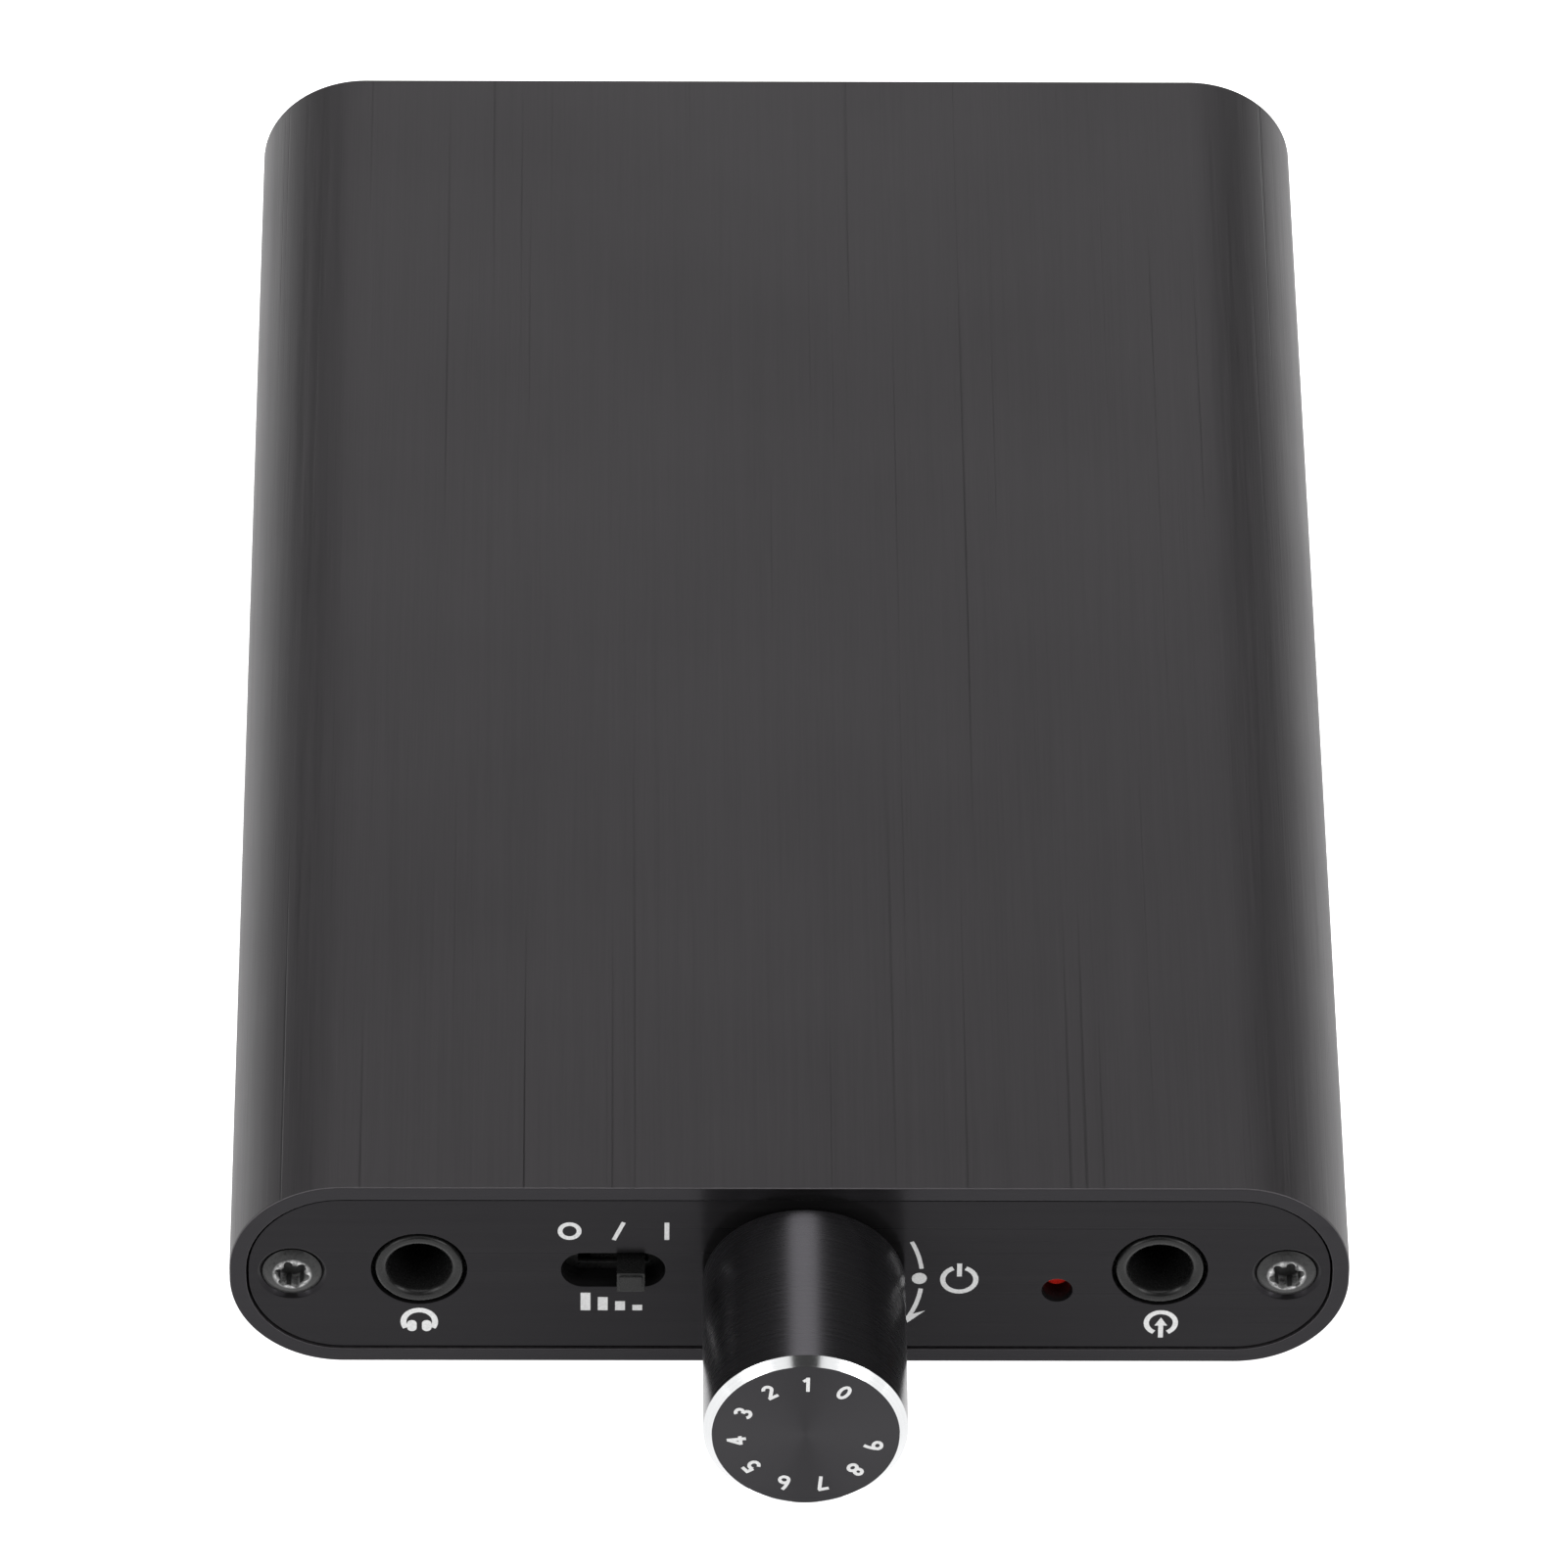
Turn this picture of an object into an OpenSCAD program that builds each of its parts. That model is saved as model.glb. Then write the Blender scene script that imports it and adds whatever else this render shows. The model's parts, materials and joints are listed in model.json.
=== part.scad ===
// Portable headphone amplifier: an extruded aluminium sleeve closed by two inset end plates.
// Inside are a circuit board, a pouch cell, two 3.5 mm sockets, a bass switch, a volume
// control with a power switch, two indicator lamps and a charging socket.
// Millimetres. X is to the right, Y to the back and Z up. The origin is the middle of the underside.

/* [Case] */
// Width of the sleeve
case_w = 63.5; // [62:0.5:70]
// Length of the sleeve
case_l = 100; // [98:1:120]
// Height of the sleeve
case_h = 13.5; // [13.5:0.1:16]
// Outer corner radius of the sleeve
corner_r = 6.4; // [5.6:0.1:6.6]
// Wall thickness of the sleeve
wall = 1.6; // [1.4:0.1:1.8]
// Rim that is left around each inset plate
lip = 0.95; // [0.8:0.05:1.1]

/* [End plates] */
// Thickness of an end plate
plate_t = 1.5; // [1.2:0.1:1.6]
// Gap between an end plate and the rim around it
plate_gap = 0.13; // [0.05:0.01:0.2]
// Depth of an end plate's face below the rim
plate_recess = 0.1; // [0:0.1:0.4]

/* [Front layout] */
// Distance of each 3.5 mm socket from the middle
jack_x = 21; // [20:0.1:22]
// Distance of each screw from the middle
screw_x = 28.2; // [28:0.1:28.4]
// Place of the volume control across the front
knob_x = 0.8; // [0:0.1:1]
// Place of the bass switch across the front
switch_x = -10; // [-11:0.1:-9.5]
// Place of the power lamp across the front
lamp_x = 15.2; // [12:0.1:16]

/* [Volume knob] */
// Diameter of the knob
knob_d = 11.5; // [11:0.1:13]
// Length of the knob
knob_l = 12.4; // [12:0.1:14]
// Bright chamfer around the dial
knob_chamfer = 0.47; // [0.3:0.01:0.6]
// Gap between the knob and the front plate
knob_gap = 0.7; // [0.5:0.1:1]

/* [3.5 mm sockets] */
// Outer diameter of a socket's barrel
barrel_d = 5; // [4.8:0.1:5.2]
// Diameter of the bore that takes the plug
plug_bore_d = 3.6; // [3.56:0.01:3.7]

/* [Bass switch] */
// Distance between the switch's two settings
lever_travel = 2; // [1.5:0.1:2]
// How far the lever stands out of the front plate
lever_out = 1.2; // [0.8:0.1:2]

/* [Board and battery] */
// Height of the board's upper face
board_top = 4.5; // [4.5:0.05:4.7]
// Width of the pouch cell
cell_w = 34; // [30:1:34]
// Thickness of the pouch cell
cell_h = 5; // [4:0.1:5.4]

/* [Hidden] */
$fn = 64;

axis_z = case_h / 2;               // height of the screws and of the volume shaft
front_y = -case_l / 2 + plate_recess;
rear_y = case_l / 2 - plate_recess;
pocket = plate_recess + plate_t;   // depth to which each end is milled back for its plate
play = 0.05;                       // clearance between parts that are pushed together
past = 1;                          // how far a cutting shape runs past what it cuts

screw_hole_r = 1.1;
screw_sink_r = 1.95;
pilot_r = 0.85;
boss_r = 2.1;
boss_slot = 1;
board_t = 1.6;
board_w = 56.4;
board_end_gap = 0.4;               // between the board and the inner face of each plate
ledge_w = 2.6;
ledge_t = 0.7;

lamp_z = board_top + 1;
lamp_hole_r = 0.87;
lens_r = 0.9;
lens_l = 3.2;
lens_depth = 0.95;                 // from the plate's face to the tip of the lens
lead_r = 0.22;

knob_r = knob_d / 2;
core_r = 4.2;                      // bore of the knob's shell, which the plastic core fills
knob_face_t = 1.5;
shaft_r = 3;
shaft_flat = 1.5;                  // distance of the flat from the shaft's axis
neck_r = 2;                        // thin rear part of the shaft
bushing_r = 3.5;
shaft_hole_r = 3.7;
pot_w = 9.6;
pot_front = plate_t + 0.2;         // depths below are measured from the front plate's face
pot_plate_t = 1;
wafer_t = 0.8;
gang_t = 4;
gang_starts = [pot_front + pot_plate_t, pot_front + pot_plate_t + gang_t];
switch_start = pot_front + pot_plate_t + 2 * gang_t;
switch_t = 4;
housing_end_t = 0.5;
pot_end = switch_start + switch_t;
cam_end = switch_start + 2.4;      // depth of the cam's rear face and of the shaft's end
cam_t = 1.2;
leaf_gap = 0.3;                    // between the cam and the leaf springs behind it
leaf_t = 0.2;
clamp_t = 0.4;
rotor_r = 3.9;
rotor_t = 1.5;
rotor_depth = 1.5;                 // from the front of each gang to its rotor
track_t = 0.05;
cavity_r = 4.2;

jack_z = board_top + 2.6;
jack_w = 6.6;
jack_h = 5.2;
jack_start = plate_t + 0.2;
jack_end = 14.8;
jack_floor = 14.2;                 // depth of the closed end of the plug's bore
jack_hole_r = barrel_d / 2 + 0.22;
jack_out = 0.05;
barrel_edge_r = 0.2;               // rounding of the barrel's outer edge
mouth_r = 0.4;                     // rounding of the mouth of the plug's bore
contact_t = 0.25;
contact_h = 1;

switch_z = board_top + 2.55;
switch_slot_l = 5.9;
switch_slot_h = 2.6;
lever_w = 1.6;
lever_h = 1.4;
lever_x = switch_x + lever_travel / 2;
frame_w = 8.6;
frame_h = 4.7;
frame_t = 0.3;
frame_depth = 3.4;
switch_front = plate_t + 0.2;
switch_back = switch_front + frame_depth;
slider_w = 4.6;
slider_h = 3.2;
slider_front = switch_front + frame_t + 0.1;
slider_back = slider_front + 1;

usb_w = 7.5;
usb_h = 2.6;
usb_foot_w = 5.4;
usb_shoulder = 1.25;
usb_t = 0.3;
usb_l = 5.3;
usb_z = board_top + play;
usb_mouth = 0.3;                   // from the rear plate's face to the mouth of the shell

charge_lamp_x = 9;
cell_front = -5;
cell_back = 41;
cell_z = board_top + 0.8;
terrace_front = -9;                // front end of the protection board on the cell
cell_corner_r = 1.2;

capacitor_places = [[-21.5, -27], [-21.5, -19], [21.5, -27], [21.5, -3], [21.5, 5], [-21.5, 9]];
can_r = 3.15;
can_h = 4.4;
can_base = 6.6;
can_base_t = 0.9;
amplifier_chip_places = [[-11, -28], [11, -28]];
power_chip_places = [[20, -17], [23.4, 33], [-22, -8]];
soic = [3.9, 4.9, 1.45];           // body of an 8-lead chip
sot = [1.6, 2.9, 1.1];             // body of a 5-lead chip
inductor_place = [20.5, 15];
inductor_w = 5;
inductor_h = 2.8;
resistor_places = [
    for (x = [-14.5, -7.5, 7.5, 14.5], y = [-23.5, -32.5]) [x, y],
    for (i = [0:3]) [-25, -12 + 3 * i],
    for (i = [0:2]) [25, 22 + 3 * i]
];
chip_capacitor_places = [
    for (x = [-11, 11], y = [-23, -33]) [x, y],
    for (i = [0:3]) [20, 22 + 3.4 * i],
    for (i = [0:3]) [-20, 16 + 5 * i]
];
chip_size = [1.6, 0.8, 0.45];
chip_capacitor_size = [2, 1.25, 1];

socket_place = [-8, -20];
socket_w = 6;
socket_l = 4.2;
socket_h = 3.4;
plug_w = 4.6;
plug_h = 2.2;
plug_l = 4;
wire_r = 0.55;
wire_sides = 8;
red_route = [
    [-7, -17.3, 6.3], [-7, -16, 6.3], [-6.8, -15, 6.4], [-6, -13.8, 6.7], [-5, -12.4, 7.1],
    [-4.2, -11.2, 7.4], [-4, -10.2, 7.5], [-4, -9, 7.5]
];
black_route = [
    [-9, -17.3, 6.3], [-9, -16, 6.3], [-9, -15, 6.4], [-8.8, -13.6, 6.7], [-8.3, -12.2, 7.1],
    [-7.8, -11, 7.4], [-7.6, -10.2, 7.5], [-7.6, -9, 7.5]
];

// ---- helpers ----

// A rectangle with round corners, centred
module round_rect(w, h, r) {
    square([w - 2 * r, h], center = true);
    square([w, h - 2 * r], center = true);
    for (x = [-1, 1], y = [-1, 1]) translate([x * (w / 2 - r), y * (h / 2 - r)]) circle(r);
}

// The sleeve's outline, drawn in by an amount
module case_outline(inset) {
    round_rect(case_w - 2 * inset, case_h - 2 * inset, corner_r - inset);
}

// Extrudes an outline drawn in X and Z from y0 to y1; its origin is at height z
module along_y(y0, y1, z = axis_z) {
    translate([0, y1, z]) rotate([90, 0, 0]) linear_extrude(y1 - y0) children();
}

// Puts a child on the front plate, its Z axis pointing out of the face
module on_front(x, z) {
    translate([x, front_y, z]) rotate([90, 0, 0]) children();
}

// Puts a child on the rear plate, its Z axis pointing out of the face
module on_rear(x, z) {
    translate([x, rear_y, z]) rotate([-90, 0, 0]) children();
}

// A box from x0 to x1 and z0 to z1, between two depths behind the front plate's face
module block(x, depth, z) {
    translate([x[0], front_y + depth[0], z[0]])
        cube([x[1] - x[0], depth[1] - depth[0], z[1] - z[0]]);
}

// A box centred on x and z, between two depths behind the front plate's face
module middle_block(x, z, size, depth) {
    block([x - size[0] / 2, x + size[0] / 2], depth, [z - size[1] / 2, z + size[1] / 2]);
}

// Both signs of X
module both_sides() {
    children();
    mirror([1, 0, 0]) children();
}

// A box centred on a place of the board's upper face
module on_board(place, size, lift = 0) {
    translate([place[0] - size[0] / 2, place[1] - size[1] / 2, board_top + lift]) cube(size);
}

function unit(v) = v / norm(v);
function tangent(p, i) = unit(p[min(i + 1, len(p) - 1)] - p[max(i - 1, 0)]);
function ring(p, i, r, n) =
    let (t = tangent(p, i), side = unit(cross(t, [0, 0, 1])), up = cross(side, t))
    [for (k = [0:n - 1]) p[i] + r * (cos(360 * k / n) * side + sin(360 * k / n) * up)];

// A tube swept along a route
module tube(route, r, n) {
    last = len(route) - 1;
    points = [for (i = [0:last]) each ring(route, i, r, n)];
    sides = [
        for (i = [0:last - 1], k = [0:n - 1])
            let (a = i * n + k, b = i * n + (k + 1) % n) [a, b, b + n, a + n]
    ];
    caps = [[for (k = [n - 1:-1:0]) k], [for (k = [0:n - 1]) last * n + k]];
    polyhedron(points, concat(sides, caps));
}

// ---- case ----

// Screw bosses, and the rails that hold the board's edges
module rails_outline() {
    both_sides() translate([screw_x, 0]) circle(boss_r);
    both_sides() translate([screw_x - 1.2, board_top + play - axis_z]) square([2.6, 1.4]);
    both_sides() translate([case_w / 2 - wall - ledge_w - 0.9, board_top - board_t - play - ledge_t - axis_z])
        square([ledge_w + 0.9, ledge_t]);
}

module sleeve_profile() {
    difference() {
        case_outline(0);
        difference() {
            case_outline(wall);
            rails_outline();
        }
        both_sides() translate([screw_x, 0]) circle(pilot_r);
        both_sides() translate([screw_x - boss_r - past, -boss_slot / 2]) square([boss_r + past, boss_slot]);
    }
}

module case_sleeve() {
    color("#2b2a2d") difference() {
        along_y(-case_l / 2, case_l / 2) sleeve_profile();
        along_y(-case_l / 2 - past, -case_l / 2 + pocket) case_outline(lip);
        along_y(case_l / 2 - pocket, case_l / 2 + past) case_outline(lip);
    }
}

module plate_outline() {
    case_outline(lip + plate_gap);
}

// A countersunk screw hole, drawn with its Z axis out of the face
module screw_hole() {
    translate([0, 0, -plate_t - past]) cylinder(r = screw_hole_r, h = plate_t + 2 * past);
    depth = screw_sink_r - screw_hole_r;
    translate([0, 0, -depth]) cylinder(r1 = screw_hole_r, r2 = screw_sink_r + 0.01, h = depth + 0.01);
}

module through(r) {
    translate([0, 0, -plate_t - past]) cylinder(r = r, h = plate_t + 2 * past);
}

module switch_slot() {
    straight = switch_slot_l - switch_slot_h;
    translate([0, 0, -plate_t - past]) linear_extrude(plate_t + 2 * past) {
        square([straight, switch_slot_h], center = true);
        for (x = [-1, 1]) translate([x * straight / 2, 0]) circle(switch_slot_h / 2);
    }
}

module front_panel() {
    color("#28272b") difference() {
        along_y(front_y, front_y + plate_t) plate_outline();
        for (x = [-1, 1]) on_front(x * screw_x, axis_z) screw_hole();
        for (x = [-1, 1]) on_front(x * jack_x, jack_z) through(jack_hole_r);
        on_front(knob_x, axis_z) through(shaft_hole_r);
        on_front(lamp_x, lamp_z) through(lamp_hole_r);
        on_front(switch_x, switch_z) switch_slot();
    }
}

module rear_panel() {
    color("#28272b") difference() {
        along_y(rear_y - plate_t, rear_y) plate_outline();
        for (x = [-1, 1]) on_rear(x * screw_x, axis_z) screw_hole();
        on_rear(charge_lamp_x, lamp_z) through(lamp_hole_r);
        along_y(rear_y - plate_t - past, rear_y + past, usb_z + usb_h / 2)
            round_rect(usb_w + 0.8, usb_h + 0.8, 0.8);
    }
}

// A screw with a domed countersunk head and a six-lobed recess; Z is out of the plate, whose face is zero
module screw() {
    thread_pitch = 0.4;
    turns = 11;
    thread_start = -1.3;
    tip = thread_start - turns * thread_pitch;
    crest_r = 0.8;
    root_r = 0.66;
    head_r = 1.7;
    crown = 0.25;
    rim = -0.2;
    dome_r = 3.8;
    lobes = 6;
    thread = [
        for (i = [0:turns - 1]) each [
            [root_r, thread_start - i * thread_pitch],
            [crest_r, thread_start - (i + 0.5) * thread_pitch]
        ]
    ];
    difference() {
        rotate_extrude() intersection() {
            polygon(concat(
                [[0, crown + past], [head_r, crown + past], [head_r, rim], [1, rim - 0.7], [crest_r, -1]],
                thread,
                [[root_r, tip], [0.3, tip - 0.4], [0, tip - 0.4]]
            ));
            union() {
                translate([0, crown - dome_r]) circle(dome_r);
                translate([0, -2 * dome_r]) square([head_r + past, 2 * dome_r + rim]);
            }
        }
        translate([0, 0, -0.75]) linear_extrude(past) {
            circle(0.72);
            for (i = [0:lobes - 1]) rotate(i * 360 / lobes) translate([0.75, 0]) circle(0.26);
        }
    }
}

module front_panel_screws() {
    color("#3a393c") for (side = [-1, 1]) on_front(side * screw_x, axis_z) rotate(side * 14) screw();
}

module rear_panel_screws() {
    color("#3a393c") for (side = [-1, 1]) on_rear(side * screw_x, axis_z) rotate(side * 22) screw();
}

// ---- volume control; Z runs out of the front plate, and depths behind it are negative ----

module volume_place() {
    on_front(knob_x, axis_z) children();
}

module knob_shell() {
    edge = 0.15;
    rear = knob_gap;
    face = knob_gap + knob_l;
    color("#1d1d20") volume_place() rotate_extrude($fn = 96) polygon([
        [core_r, rear + edge], [core_r + edge, rear], [knob_r - edge, rear], [knob_r, rear + edge],
        [knob_r, face - knob_chamfer], [knob_r - knob_chamfer, face],
        [0, face], [0, face - knob_face_t], [core_r, face - knob_face_t]
    ]);
}

// A round bar with one flat, the flat facing down
module flatted_bar(r, flat, z0, z1) {
    difference() {
        translate([0, 0, z0]) cylinder(r = r, h = z1 - z0);
        translate([-r - past, -r - past, z0 - past])
            cube([2 * (r + past), r + past - flat, z1 - z0 + 2 * past]);
    }
}

module knob_core() {
    rear = knob_gap + 0.3;
    end = knob_gap + knob_l - knob_face_t - play;
    color("#17171a") volume_place() difference() {
        translate([0, 0, rear]) cylinder(r = core_r - 0.02, h = end - rear);
        flatted_bar(shaft_r + 0.03, shaft_flat + 0.03, rear - past, end - 0.8);
        for (i = [0:7]) rotate(i * 45 + 22.5) translate([core_r, 0, rear - past])
            cylinder(r = 0.35, h = end - rear + 2 * past);
    }
}

module volume_shaft() {
    tip = knob_gap + knob_l - knob_face_t - 1.4;
    shoulder = -gang_starts[0] + play;
    tip_chamfer = 0.4;
    color("#b9bbbd") volume_place() difference() {
        rotate_extrude() polygon([
            [0, -cam_end], [neck_r, -cam_end], [neck_r, shoulder], [shaft_r, shoulder],
            [shaft_r, tip - tip_chamfer], [shaft_r - tip_chamfer, tip], [0, tip]
        ]);
        translate([-shaft_r - past, -shaft_r - past, knob_gap + 0.2])
            cube([2 * (shaft_r + past), shaft_r + past - shaft_flat, tip]);
    }
}

// A flat ring whose front face is at a depth
module ring_at(depth, outer, inner, thickness) {
    translate([0, 0, -depth - thickness]) linear_extrude(thickness) difference() {
        circle(outer);
        circle(inner);
    }
}

module volume_rotors() {
    color("#e6e2d6") for (start = gang_starts) volume_place()
        ring_at(start + rotor_depth, rotor_r, neck_r + 0.02, rotor_t);
}

// A ring on each rotor, with two brushes that ride on the track in front of it
module volume_wipers() {
    wiper_t = 0.2;
    brush_l = 0.6;
    color("#d9a441") for (start = gang_starts) volume_place() {
        ring_at(start + rotor_depth - wiper_t, 3.4, 2.3, wiper_t);
        for (a = [35, 145]) rotate(a) translate([2.9, 0, -start - rotor_depth + wiper_t / 2])
            cylinder(r = 0.3, h = brush_l - wiper_t / 2);
    }
}

module power_switch_cam() {
    color("#e6e2d6") volume_place() translate([0, 0, -cam_end]) linear_extrude(cam_t) difference() {
        union() {
            circle(3.1);
            rotate(60) translate([2.7, 0]) circle(0.9);
        }
        circle(neck_r + 0.02);
    }
}

module pot_slab(front, back) {
    translate([-pot_w / 2, -pot_w / 2, -back]) cube([pot_w, pot_w, back - front]);
}

module volume_bushing_plate() {
    color("#c4c6c8") volume_place() difference() {
        union() {
            pot_slab(pot_front, pot_front + pot_plate_t);
            translate([0, 0, -pot_front - play]) cylinder(r = bushing_r, h = pot_front - 0.5);
        }
        translate([0, 0, -gang_starts[0] - past]) cylinder(r = shaft_r + play, h = gang_starts[0] + 2 * past);
    }
}

// Each wafer carries a printed track on its rear face, open at the bottom
module volume_wafers() {
    track_gap = 1.2;
    color("#6b4a2b") for (start = gang_starts) volume_place() difference() {
        union() {
            pot_slab(start, start + wafer_t);
            ring_at(start, 3.3, neck_r, wafer_t + track_t);
        }
        ring_at(start - past, neck_r + 0.2, 0, wafer_t + 2 * past);
        translate([-track_gap / 2, -pot_w / 2, -start - wafer_t - past]) cube([track_gap, pot_w / 2, past]);
    }
}

module volume_gang_housings() {
    color("#26262a") for (start = gang_starts) volume_place() difference() {
        pot_slab(start + wafer_t, start + gang_t);
        translate([0, 0, -start - gang_t + housing_end_t]) cylinder(r = cavity_r, h = gang_t);
        translate([0, 0, -start - gang_t - past]) cylinder(r = neck_r + 0.2, h = gang_t);
    }
}

module power_switch_housing() {
    color("#26262a") volume_place() difference() {
        pot_slab(switch_start, pot_end);
        translate([0, 0, -pot_end + housing_end_t]) cylinder(r = cavity_r, h = switch_t - 2 * housing_end_t);
        translate([0, 0, -switch_start - past]) cylinder(r = neck_r + 0.2, h = 2 * past);
    }
}

// Two leaf springs behind the cam, and the stems that carry them
module power_switch_contacts() {
    leaf_w = 1;
    leaf_l = 6;
    stem_h = 0.8;
    depth = cam_end + leaf_gap;
    stem_l = pot_end - housing_end_t - depth;
    spacing = 1.3;
    color("#c9a253") volume_place() for (side = [-1, 1])
        translate([side * spacing - leaf_w / 2, -leaf_l / 2, -depth]) {
            translate([0, 0, -leaf_t]) cube([leaf_w, leaf_l, leaf_t]);
            translate([0, 0, -stem_l]) cube([leaf_w, stem_h, stem_l]);
        }
}

// Steel strap that holds the stack together, from the front plate round the back
module volume_clamp_frame() {
    strap_h = 4.8;
    low = -1;
    x = pot_w / 2;
    color("#c4c6c8") volume_place() {
        for (side = [-1, 1]) translate([side * (x + clamp_t / 2) - clamp_t / 2, low, -pot_end - clamp_t])
            cube([clamp_t, strap_h, pot_end + clamp_t - pot_front]);
        translate([-x - clamp_t, low, -pot_end - clamp_t]) cube([pot_w + 2 * clamp_t, strap_h, clamp_t]);
    }
}

// Flat legs that lie on the board beside the stack
module volume_terminals() {
    leg_w = 0.8;
    leg_t = 0.2;
    leg_l = 1.5;
    depths = [for (start = gang_starts) each [start + 1.4, start + 3], switch_start + 2];
    color("#c9cbcd") for (d = depths, side = [-1, 1]) {
        inner = knob_x + side * pot_w / 2;
        outer = inner + side * leg_l;
        block([min(inner, outer), max(inner, outer)], [d - leg_w / 2, d + leg_w / 2],
              [board_top, board_top + leg_t]);
    }
}

// ---- 3.5 mm sockets ----

// Each contact of a socket: its side, the depth of its leg and the depth of its leaf's far end
contact_plan = [[-1, 3.2, 6.4], [1, 5.2, 9.2], [-1, 8, 12], [1, 10.6, 13.6]];
bump_x = plug_bore_d / 2 + play;   // the bump stops just outside the plug's bore
leaf_x = bump_x + 0.4;
contact_leg_w = 1;
foot_t = 0.2;
slack = 0.1;                       // between a contact and the channel it lies in

module on_side(side) {
    mirror([side > 0 ? 0 : 1, 0, 0]) children();
}

// The room that a contact needs in the body
module contact_channel(leg, far) {
    start = leg - contact_leg_w / 2 - slack;
    leg_depth = [start, start + contact_leg_w + 2 * slack];
    outer = leaf_x + contact_t + slack;
    half = contact_h / 2 + slack;
    block([bump_x - 2 * slack, outer], [start, far + slack], [jack_z - half, jack_z + half]);
    block([leaf_x - slack, outer], leg_depth, [board_top - past, jack_z]);
    block([leaf_x - slack, jack_w], leg_depth, [board_top - past, board_top + foot_t + slack]);
}

// The round part that fills the plate's hole, its outer edge rounded
module barrel() {
    back = -jack_start - past;
    r = barrel_d / 2;
    edge = jack_out - barrel_edge_r;
    rotate_extrude() {
        translate([0, back]) square([r - barrel_edge_r, jack_out - back]);
        translate([0, back]) square([r, edge - back]);
        translate([r - barrel_edge_r, edge]) circle(barrel_edge_r);
    }
}

// Cuts the rounding at the mouth of a bore
module barrel_mouth(bore_r) {
    edge = jack_out - mouth_r;
    rotate_extrude() difference() {
        translate([0, edge]) square([bore_r + mouth_r, mouth_r + past]);
        translate([bore_r + mouth_r, edge]) circle(mouth_r);
    }
}

module jack_body(x) {
    bore_r = plug_bore_d / 2;
    color("#1b1b1e") translate([x, 0, 0]) difference() {
        union() {
            block([-jack_w / 2, jack_w / 2], [jack_start, jack_end], [board_top, board_top + jack_h]);
            on_front(0, jack_z) barrel();
        }
        on_front(0, jack_z) translate([0, 0, -jack_floor]) cylinder(r = bore_r, h = jack_floor + past);
        on_front(0, jack_z) barrel_mouth(bore_r);
        for (c = contact_plan) on_side(c[0]) contact_channel(c[1], c[2]);
    }
}

// A leaf with a bump for the plug, a leg down to the board and a foot
module jack_contact(leg, far) {
    start = leg - contact_leg_w / 2;
    bump = far - 1;
    bump_half = 0.5;
    outer = leaf_x + contact_t;
    translate([0, front_y, jack_z - contact_h / 2]) linear_extrude(contact_h) polygon([
        [leaf_x, start], [outer, start], [outer, bump - bump_half], [bump_x + contact_t, bump],
        [outer, bump + bump_half], [outer, far],
        [leaf_x, far], [leaf_x, bump + bump_half], [bump_x, bump], [leaf_x, bump - bump_half]
    ]);
    translate([leaf_x, front_y + start, board_top]) {
        cube([contact_t, contact_leg_w, jack_z - board_top]);
        cube([jack_w / 2 + 1 - leaf_x, contact_leg_w, foot_t]);
    }
}

module jack_contacts(x) {
    color("#d8d4c8") translate([x, 0, 0]) for (c = contact_plan) on_side(c[0]) jack_contact(c[1], c[2]);
}

module headphone_jack_body() { jack_body(-jack_x); }
module headphone_jack_contacts() { jack_contacts(-jack_x); }
module input_jack_body() { jack_body(jack_x); }
module input_jack_contacts() { jack_contacts(jack_x); }

// ---- bass switch ----

// A finger that stands on a slider, which the frame holds back
module bass_switch_lever() {
    tip = 0.15;
    color("#232326") union() {
        middle_block(lever_x, switch_z, [slider_w, slider_h], [slider_front, slider_back]);
        middle_block(lever_x, switch_z, [lever_w, lever_h], [tip - lever_out, slider_back]);
        middle_block(lever_x, switch_z, [lever_w - 2 * tip, lever_h - 2 * tip], [-lever_out, slider_back]);
    }
}

module bass_switch_bridge() {
    bridge_t = 0.2;
    color("#d9a441") union() {
        middle_block(lever_x, switch_z, [3, 1.2], [slider_back, slider_back + bridge_t]);
        for (side = [-1, 1])
            middle_block(lever_x + side * 1.1, switch_z, [0.6, 0.8],
                         [slider_back, slider_back + 4 * bridge_t]);
    }
}

module bass_switch_frame() {
    inner = [frame_w - 2 * frame_t, frame_h - 2 * frame_t];
    mouth = [lever_w + lever_travel + 8 * play, lever_h + 10 * play];
    foot_l = 1.4;
    foot_x = (frame_w - frame_t) / 2;
    color("#3b3c3f") union() {
        difference() {
            middle_block(switch_x, switch_z, [frame_w, frame_h], [switch_front, switch_back]);
            middle_block(switch_x, switch_z, inner, [switch_front + frame_t, switch_back + past]);
            middle_block(switch_x, switch_z, mouth, [switch_front - past, switch_back]);
        }
        for (side = [-1, 1]) translate([switch_x + side * foot_x, front_y + switch_front + 1.5, board_top])
            translate([-frame_t / 2, -foot_l / 2, 0]) cube([frame_t, foot_l, switch_z - board_top]);
    }
}

module bass_switch_base() {
    gap = frame_t + play;
    base_t = 0.9;
    color("#7a4f2c")
        middle_block(switch_x, switch_z, [frame_w - 2 * gap, frame_h - 2 * gap],
                     [switch_back - base_t, switch_back]);
}

// Pins that leave the base and turn down to the board
module bass_switch_terminals() {
    pin_w = 0.5;
    pin_t = 0.2;
    pitch = 2;
    reach = 1;
    color("#c9cbcd") for (i = [-1:1]) {
        x = [switch_x + i * pitch - pin_w / 2, switch_x + i * pitch + pin_w / 2];
        block(x, [switch_back, switch_back + reach], [switch_z - pin_t, switch_z]);
        block(x, [switch_back + reach - pin_t, switch_back + reach], [board_top, switch_z]);
    }
}

// ---- lamps; drawn for the front, with their tips at depth lens_depth ----

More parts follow.
